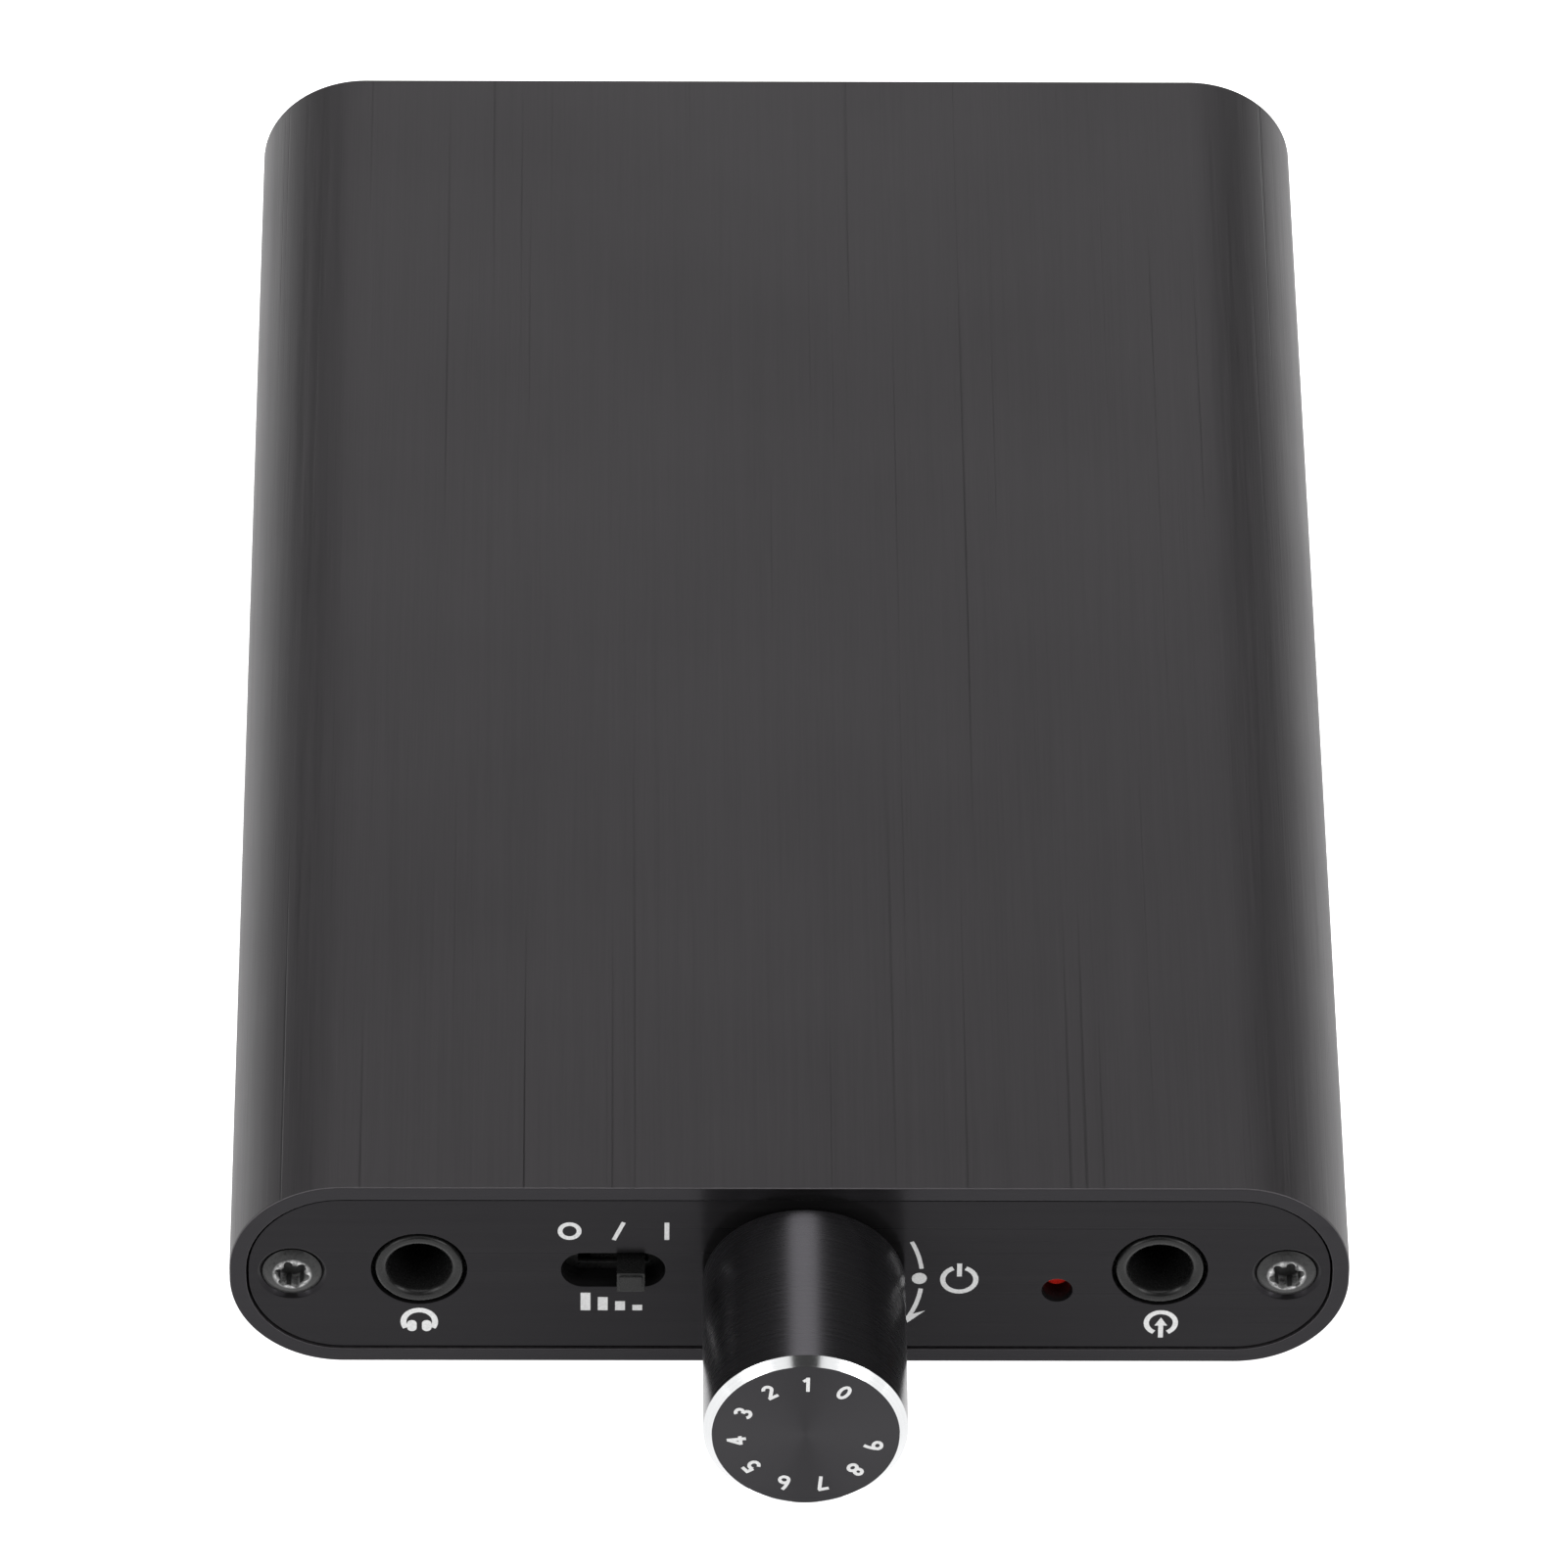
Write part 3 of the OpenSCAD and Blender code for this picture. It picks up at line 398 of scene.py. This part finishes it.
def smooth_group():
    """Geometry nodes that shade smooth every edge flatter than SHARP."""
    group = bpy.data.node_groups.new("smooth_flat_edges", "GeometryNodeTree")
    group.interface.new_socket("Geometry", in_out="INPUT", socket_type="NodeSocketGeometry")
    group.interface.new_socket("Geometry", in_out="OUTPUT", socket_type="NodeSocketGeometry")
    nodes, links = group.nodes, group.links
    start, end = nodes.new("NodeGroupInput"), nodes.new("NodeGroupOutput")
    faces = nodes.new("GeometryNodeSetShadeSmooth")
    edges = nodes.new("GeometryNodeSetShadeSmooth")
    edges.domain = "EDGE"
    angle = nodes.new("GeometryNodeInputMeshEdgeAngle")
    flat = nodes.new("FunctionNodeCompare")
    flat.operation = "LESS_THAN"
    flat.inputs["B"].default_value = SHARP
    links.new(angle.outputs["Unsigned Angle"], flat.inputs["A"])
    links.new(flat.outputs["Result"], edges.inputs["Shade Smooth"])
    links.new(start.outputs[0], faces.inputs["Geometry"])
    links.new(faces.outputs[0], edges.inputs["Geometry"])
    links.new(edges.outputs[0], end.inputs[0])
    return group


SMOOTH = smooth_group()


def soften(obj, width, segments=2):
    """Joins the CAD mesh's faces, rounds its sharp edges by a width in millimetres and evens its normals."""
    weld = obj.modifiers.new("weld", "WELD")
    weld.merge_threshold = SEAM
    join = obj.modifiers.new("join_flat_faces", "DECIMATE")
    join.decimate_type = "DISSOLVE"
    join.angle_limit = FLAT
    if width:
        bevel = obj.modifiers.new("round_edges", "BEVEL")
        bevel.width = width * MM
        bevel.segments = segments
        bevel.limit_method = "ANGLE"
        bevel.angle_limit = SHARP
        bevel.use_clamp_overlap = True
    even_normals(obj)


def even_normals(obj):
    """Shades flat edges smooth, with normals that follow the larger faces."""
    smooth = obj.modifiers.new("smooth", "NODES")
    smooth.node_group = SMOOTH
    even = obj.modifiers.new("even_normals", "WEIGHTED_NORMAL")
    even.keep_sharp = True


def new_object(name, mesh, body, slot, *materials):
    obj = bpy.data.objects.new(name, mesh)
    bpy.context.scene.collection.objects.link(obj)
    for material in materials:
        mesh.materials.append(material)
    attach(obj, body)
    return obj


def to_mesh(name, bm):
    """Makes a mesh of bm, its faces turned outwards."""
    bmesh.ops.recalc_face_normals(bm, faces=bm.faces)
    mesh = bpy.data.meshes.new(name)
    bm.to_mesh(mesh)
    bm.free()
    return mesh


def lathe(name, profile, axis, steps=192):
    """A solid turned about a line along Y. profile is a list of (radius, y, material) from axis to axis."""
    bm = bmesh.new()
    turns = [2 * math.pi * k / steps for k in range(steps)]
    rings = []
    for radius, y, _ in profile:
        around = turns if radius else turns[:1]
        places = [(axis.x + radius * math.cos(a), y, axis.z + radius * math.sin(a)) for a in around]
        rings.append([bm.verts.new(place) for place in places])
    for (ring, after), (_, _, material) in zip(zip(rings, rings[1:]), profile):
        for k in range(steps):
            ends = [ring[k % len(ring)], ring[(k + 1) % len(ring)]]
            ends += [after[(k + 1) % len(after)], after[k % len(after)]]
            corners = list(dict.fromkeys(ends))
            if len(corners) > 2:
                bm.faces.new(corners).material_index = material
    return to_mesh(name, bm)


def oval(cx, cy, rx, ry, start, end, steps=12):
    """Points on an oval, with the angles in degrees."""
    turns = [math.radians(start + (end - start) * k / steps) for k in range(steps + 1)]
    return [(cx + rx * math.cos(a), cy + ry * math.sin(a)) for a in turns]


def arc(cx, cy, radius, start, end, steps=12):
    return oval(cx, cy, radius, radius, start, end, steps)


# ---------------------------------------------------------------- CAD nodes: materials and rounded edges

# Rounding of the edges in millimetres, where it isn't the usual one
EDGE_WIDTHS = {
    "front_panel": 0.06,
    "rear_panel": 0.06,
    "headphone_jack_body": 0,
    "input_jack_body": 0,
    "battery_cell": 0.2,
    "capacitor_cans": 0,
    "battery_wire_red": 0,
    "battery_wire_black": 0,
    "power_lamp_leads": 0,
    "charge_lamp_leads": 0,
}
USUAL_EDGE = 0.04
REBUILT = ["case_sleeve", "knob_shell"]

for part in frame["record"]["subparts"]:
    node = frame["nodes"][part["node"]]
    node.material_slots[0].material = MATERIALS[part["material_slot"]]
    if part["node"] not in REBUILT:
        soften(node, EDGE_WIDTHS.get(part["node"], USUAL_EDGE))


# ---------------------------------------------------------------- case

CASE_R = 6.4 * MM                  # outer corner radius of the sleeve
ON_CURVE = 0.01 * MM               # how near the CAD's corner points lie to that radius
EASED_ENDS = ((True, 0.1 * MM), (False, 0.04 * MM))  # outer, then inner edges of the ends, and their widths


def end_edges(bm, outer):
    """The edges round the outside, or round the plates' pockets, on the case's two end faces."""
    middle = Vector((0, 0, (SLEEVE_LOW.z + SLEEVE_HIGH.z) / 2))
    found = []
    for edge in bm.edges:
        at_end = all(abs(abs(v.co.y) - SLEEVE_HIGH.y) < SEAM for v in edge.verts)
        walls = [f for f in edge.link_faces if abs(f.normal.y) < 0.5]
        if at_end and walls:
            out = (edge.verts[0].co + edge.verts[1].co) / 2 - middle
            out.y = 0
            if (walls[0].normal.dot(out) > 0) == outer:
                found.append(edge)
    return found


def corner_centre(point):
    """The centre, across the case, of the rounded edge that is nearest to a point."""
    x = math.copysign(SLEEVE_HIGH.x - CASE_R, point.x)
    z = SLEEVE_HIGH.z - CASE_R if point.z > SLEEVE_HIGH.z / 2 else CASE_R
    return Vector((x, point.y, z))


def round_sides(bm):
    """Splits the facets of the four long rounded edges and moves the new points out to the true curve."""
    curved = []
    for edge in bm.edges:
        ends = [vert.co for vert in edge.verts]
        centre = corner_centre((ends[0] + ends[1]) / 2)
        off_curve = max(abs((co - centre).length - CASE_R) for co in ends)
        if abs(ends[0].y - ends[1].y) < SEAM and off_curve < ON_CURVE:
            curved.append(edge)
    split = bmesh.ops.subdivide_edges(bm, edges=curved, cuts=3, use_grid_fill=True)
    for vert in (g for g in split["geom_inner"] if isinstance(g, bmesh.types.BMVert)):
        centre = corner_centre(vert.co)
        vert.co = centre + (vert.co - centre).normalized() * CASE_R
    bm.normal_update()


def case():
    """The extruded sleeve, its sawn ends eased outside and just broken inside."""
    bm = bmesh.new()
    bm.from_mesh(frame["nodes"]["case_sleeve"].data)
    bmesh.ops.remove_doubles(bm, verts=bm.verts, dist=SEAM)
    bmesh.ops.dissolve_limit(bm, angle_limit=FLAT, verts=bm.verts, edges=bm.edges)
    round_sides(bm)
    for outer, width in EASED_ENDS:
        edges = end_edges(bm, outer)
        bmesh.ops.bevel(bm, geom=edges, offset=width, segments=4, profile=0.5, affect="EDGES")
    for face in bm.faces:
        face.material_index = int(abs(face.normal.y) > 0.9)
    mesh = to_mesh("case", bm)
    obj = new_object("case", mesh, "chassis", "anodised_case", MATERIALS["anodised_case"], SAWN_END)
    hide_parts("case_sleeve")
    even_normals(obj)


case()


# ---------------------------------------------------------------- knob


def knob():
    """The knob's shell: satin side, diamond-cut chamfer and a dial a hair below the rim."""
    outer = (KNOB_HIGH.x - KNOB_LOW.x) / 2
    front, back = KNOB_LOW.y, KNOB_HIGH.y
    bore = 4.2 * MM
    bore_end = front + 1.5 * MM
    chamfer = 0.47 * MM
    edge = 0.15 * MM
    dial_depth = 0.02 * MM
    side, cut, dial = 0, 1, 2
    profile = [
        (0, front + dial_depth, dial),
        (outer - chamfer - dial_depth, front + dial_depth, cut),
        (outer - chamfer, front, cut),
        (outer, front + chamfer, side),
    ]
    profile += [(r, y, side) for r, y in arc(outer - edge, back - edge, edge, 0, 90, 5)]
    profile += [(bore + edge, back, side), (bore, back - edge, side)]
    profile += [(bore, bore_end, side), (0, bore_end, side)]
    mesh = lathe("knob", profile, KNOB_AXIS)
    finishes = MATERIALS["anodised_knob"], BRIGHT_CUT, SPUN_DIAL
    obj = new_object("knob", mesh, "volume_control", "anodised_knob", *finishes)
    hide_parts("knob_shell")
    even_normals(obj)


knob()


# ---------------------------------------------------------------- printed marks

INK_DEPTH = 0.02                   # millimetres, as all the marks are drawn
INK_SUNK = 0.002                   # how far the ink's back lies inside the metal
FACING_FRONT = Euler((math.radians(90), 0, 0)).to_matrix().to_4x4()


def stroke(points, width):
    """The outline of a line of even width through points, with mitred corners."""
    left, right = [], []
    line = [Vector(p) for p in points]
    for i, point in enumerate(line):
        near = line[max(i - 1, 0):i + 2]
        steps = [(b - a).normalized() for a, b in zip(near, near[1:])]
        along = sum(steps, Vector((0, 0))).normalized()
        side = Vector((-along.y, along.x)) * width / 2 / along.dot(steps[0])
        left.append(point + side)
        right.append(point - side)
    return left + right[::-1]


def disc(x, y, radius, steps=24):
    return arc(x, y, radius, 0, 360 - 360 / steps, steps - 1)


def hoop(cx, cy, rx, ry, width):
    """A closed oval line, as two halves."""
    return [stroke(oval(cx, cy, rx, ry, start, start + 180), width) for start in (0, 180)]


def bar(x0, y0, x1, y1):
    """A rectangle from its lower left to its upper right corner."""
    return [(x0, y0), (x1, y0), (x1, y1), (x0, y1)]


def anticlockwise(shape):
    twice_area = sum(a[0] * b[1] - b[0] * a[1] for a, b in zip(shape, shape[1:] + shape[:1]))
    return shape if twice_area > 0 else shape[::-1]


def slab(shapes):
    """A thin closed slab in the shape of all the outlines together."""
    points, faces = [], []
    for shape in shapes:
        faces.append(list(range(len(points), len(points) + len(shape))))
        points += [Vector(point) for point in anticlockwise(shape)]
    corners, _, triangles, _, _, inside = delaunay_2d_cdt(points, [], faces, 1, 1e-4)
    bm = bmesh.new()
    verts = [bm.verts.new((corner.x, corner.y, -INK_SUNK)) for corner in corners]
    for triangle, shapes_here in zip(triangles, inside):
        if shapes_here:
            bm.faces.new([verts[i] for i in triangle])
    bmesh.ops.delete(bm, geom=[v for v in bm.verts if not v.link_faces], context="VERTS")
    raised = bmesh.ops.extrude_face_region(bm, geom=bm.faces[:], use_keep_orig=True)["geom"]
    for vert in (g for g in raised if isinstance(g, bmesh.types.BMVert)):
        vert.co.z += INK_DEPTH
    return bm


def ink(name, shapes, place):
    """The mesh of a mark that faces the front, its middle at a place."""
    mesh = to_mesh(name, slab(shapes))
    mesh.transform(Matrix.Translation(place) @ FACING_FRONT @ Matrix.Scale(MM, 4))
    return mesh


def front_mark(name, shapes, x, z):
    """A mark printed on the front plate about a place, drawn in millimetres."""
    mesh = ink(name, shapes, Vector((x * MM, FACE_Y, z * MM)))
    new_object(name, mesh, "chassis", "anodised_panel", PRINT_INK)


def headphone_mark():
    """A headband over two ear cups."""
    shapes = [stroke(arc(0, -0.16, 0.9, -32, 212, 24), 0.34)]
    half, low, high = 0.27, -0.64, -0.32
    for x in (-0.42, 0.42):
        shapes += [arc(x, high, half, 0, 180), arc(x, low, half, 180, 360)]
        shapes.append(bar(x - half, low, x + half, high))
    return shapes


def input_mark():
    """A ring that is open at the bottom, with an arrow up into it."""
    ring = stroke(arc(0, 0.09, 0.83, -62, 242, 32), 0.3)
    head = [(-0.36, -0.12), (0.36, -0.12), (0, 0.5)]
    return [ring, head, bar(-0.14, -1.06, 0.14, 0.1)]


def power_mark():
    """The usual sign for power: a ring that is open at the top, and a bar."""
    return [stroke(arc(0, 0, 0.94, 112, 428, 32), 0.3), bar(-0.14, 0.24, 0.14, 1.24)]


def turn_mark():
    """The dial's index dot and an arrow that shows the way to turn, about the knob's axis."""
    dot = disc(6.56, 0, 0.43)
    upper = stroke(arc(0, 0, 6.72, 25, 6.5), 0.24)
    lower = stroke(arc(0, 0, 6.7, -6.8, -28), 0.26)
    barb = [(5.93, -3.46), (6.92, -2.52), (6.4, -2.7), (5.8, -2.98)]
    return [dot, upper, lower, barb]


def switch_mark():
    """Off and on: a ring and a bar, with a slash between them."""
    slash = stroke([(-0.1, -0.68), (0.46, 0.68)], 0.24)
    upright = stroke([(2.9, -0.66), (2.9, 0.66)], 0.27)
    return hoop(-2.6, 0, 0.54, 0.54, 0.27) + [slash, upright]


def bass_mark():
    """Four level bars, the lowest notes' one the tallest."""
    base, pitch, half = -0.68, 0.98, 0.28
    bars = []
    for i, height in enumerate((1.36, 1.02, 0.7, 0.42)):
        x = (i - 1.5) * pitch
        bars.append(bar(x - half, base, x + half, base + height))
    return bars


# Each mark and its middle on the plate, in millimetres across and up
front_mark("headphone_mark", headphone_mark(), -21.02, 3.17)
front_mark("input_mark", input_mark(), 21.16, 2.9)
front_mark("power_mark", power_mark(), 9.63, 6.36)
front_mark("turn_mark", turn_mark(), 0.8, 6.44)
front_mark("switch_mark", switch_mark(), -9.87, 10.08)
front_mark("bass_mark", bass_mark(), -10.1, 4.6)


def digit_strokes():
    """The lines of the digits 0 to 9, a millimetre high and about the middle of each."""
    t = 0.19
    edge = 0.5 - t / 2
    nine_tail = [(0.13, -0.5), (0.2, -0.28), (0.235, -0.02), (0.235, 0.19)]
    six_tail = [(-x, -y) for x, y in nine_tail]
    zero = hoop(0, 0, 0.23, edge, t)
    one = [stroke(line, t) for line in ([(-0.18, 0.22), (0.05, 0.4)], [(0.06, -0.5), (0.06, 0.5)])]
    two_lines = (
        oval(0, 0.19, 0.22, edge - 0.19, 170, -30),
        [(0.21, 0.11), (-0.2, -edge)],
        [(-0.28, -edge), (0.29, -edge)],
    )
    three_lines = (
        oval(-0.02, 0.21, 0.21, edge - 0.21, 150, -90),
        oval(-0.02, -0.2, 0.24, edge - 0.2, 90, -150),
    )
    four_lines = (
        [(0.1, 0.5), (0.1, -0.5)],
        [(0.1, 0.44), (-0.24, -0.2)],
        [(-0.3, -0.2), (0.3, -0.2)],
    )
    five_lines = (
        [(0.25, edge), (-0.24, edge)],
        [(-0.16, edge), (-0.19, 0.04)],
        oval(-0.03, -0.15, 0.25, edge - 0.15, 130, -150),
    )
    seven_lines = (
        [(-0.28, edge), (0.28, edge)],
        [(0.22, edge), (-0.08, -0.5)],
    )
    two, three, four, five, seven = (
        [stroke(line, t) for line in lines]
        for lines in (two_lines, three_lines, four_lines, five_lines, seven_lines)
    )
    six = hoop(0, -0.19, 0.235, edge - 0.19, t) + [stroke(six_tail, t)]
    eight = hoop(0, 0.21, 0.19, edge - 0.21, t) + hoop(0, -0.2, 0.235, edge - 0.2, t)
    nine = hoop(0, 0.19, 0.235, edge - 0.19, t) + [stroke(nine_tail, t)]
    return [zero, one, two, three, four, five, six, seven, eight, nine]


def dial_digits():
    """The digits round the dial, their tops outwards. Turning the knob brings each to the index dot."""
    first, step = 57.3, 32.36
    ring, height = 3.9, 1.08
    shapes = []
    for digit, strokes in enumerate(digit_strokes()):
        angle = math.radians(first + step * digit)
        out = Vector((math.cos(angle), math.sin(angle)))
        side = Vector((out.y, -out.x))
        for line in strokes:
            shapes.append([out * (ring + height * p[1]) + side * (height * p[0]) for p in line])
    mesh = ink("dial_digits", shapes, Vector((KNOB_AXIS.x, KNOB_LOW.y + INK_DEPTH * MM, KNOB_AXIS.z)))
    new_object("dial_digits", mesh, "volume_control", "anodised_knob", PRINT_INK)


dial_digits()


# ---------------------------------------------------------------- floor, lights and camera


FLOOR_GAP = 0.02 * MM              # keeps the floor clear of the case's underside


def floor():
    """A sheet of white paper that glows just enough to read as an even white."""
    mesh = bpy.data.meshes.new("floor")
    bm = bmesh.new()
    bmesh.ops.create_grid(bm, x_segments=4, y_segments=4, size=3)
    bm.to_mesh(mesh)
    bm.free()
    obj = bpy.data.objects.new("floor", mesh)
    bpy.context.scene.collection.objects.link(obj)
    obj.location.z = -FLOOR_GAP
    tree = Tree("floor_paper")
    grain = tree.noise(tree.place, 40, 2, 0.5)
    tree.feed(tree.blend(tree.spread(grain, 0, 1), grey(0.9), grey(0.92)), "Base Color")
    tree.set(Roughness=0.8, Specular_IOR_Level=0.1, Emission_Color=grey(1.0), Emission_Strength=0.9)
    mesh.materials.append(tree.material)


def softbox(name, place, aim, width, height, radiance):
    """An area light of even radiance that faces a point."""
    light = bpy.data.lights.new(name, "AREA")
    light.shape = "RECTANGLE"
    light.size, light.size_y = width, height
    light.energy = radiance * math.pi * width * height
    obj = bpy.data.objects.new(name, light)
    bpy.context.scene.collection.objects.link(obj)
    obj.location = place
    obj.rotation_euler = (Vector(aim) - Vector(place)).to_track_quat("-Z", "Y").to_euler()


def on_sphere(azimuth, elevation, distance):
    """A point seen from the object at angles in degrees, with azimuth from +Y towards +X."""
    around, up = math.radians(azimuth), math.radians(elevation)
    flat = distance * math.cos(up)
    return (flat * math.sin(around), flat * math.cos(around), distance * math.sin(up))


def lights():
    """Soft boxes behind, at both sides and above, with a weak even sky."""
    aim = (0, -0.02, 0.01)
    softbox("back_box", on_sphere(-1, 50, 0.85), aim, 0.34, 0.5, 1.45)
    softbox("low_box", on_sphere(-1, 24, 0.95), aim, 0.5, 0.3, 1.7)
    softbox("left_screen", on_sphere(-132, 24, 1.0), aim, 0.95, 0.95, 1.85)
    softbox("right_screen", on_sphere(132, 24, 1.0), aim, 0.95, 0.95, 1.85)
    softbox("left_box", on_sphere(-131, 28, 0.9), aim, 0.32, 0.32, 4.6)
    softbox("right_box", on_sphere(131, 28, 0.9), aim, 0.32, 0.32, 5.0)
    softbox("top_box", (0, -0.15, 1.3), aim, 1.2, 0.8, 3.0)
    world = bpy.data.worlds.new("studio")
    world.use_nodes = True
    sky = world.node_tree.nodes["Background"]
    sky.inputs["Color"].default_value = (1, 1, 1, 1)
    sky.inputs["Strength"].default_value = 0.08
    bpy.context.scene.world = world


def camera():
    """A long lens above the front, looking down at the case."""
    data = bpy.data.cameras.new("camera")
    data.sensor_width = 36
    data.lens = 322.53
    data.clip_start, data.clip_end = 0.05, 20
    obj = bpy.data.objects.new("camera", data)
    bpy.context.scene.collection.objects.link(obj)
    yaw, pitch, roll = (math.radians(a) for a in (0.931, 41.4386, 0.7235))
    forward = Vector((math.sin(yaw) * math.cos(pitch), math.cos(yaw) * math.cos(pitch), -math.sin(pitch)))
    right = Vector((math.cos(yaw), -math.sin(yaw), 0))
    up = right.cross(forward)
    right, up = (
        math.cos(roll) * right + math.sin(roll) * up,
        math.cos(roll) * up - math.sin(roll) * right,
    )
    turn = Matrix((right, up, -forward)).transposed().to_4x4()
    obj.matrix_world = Matrix.Translation((-0.01007, -0.62852, 0.5547)) @ turn
    bpy.context.scene.camera = obj


floor()
lights()
camera()
bpy.context.scene.view_settings.view_transform = "Standard"

bpy.context.view_layer.update()
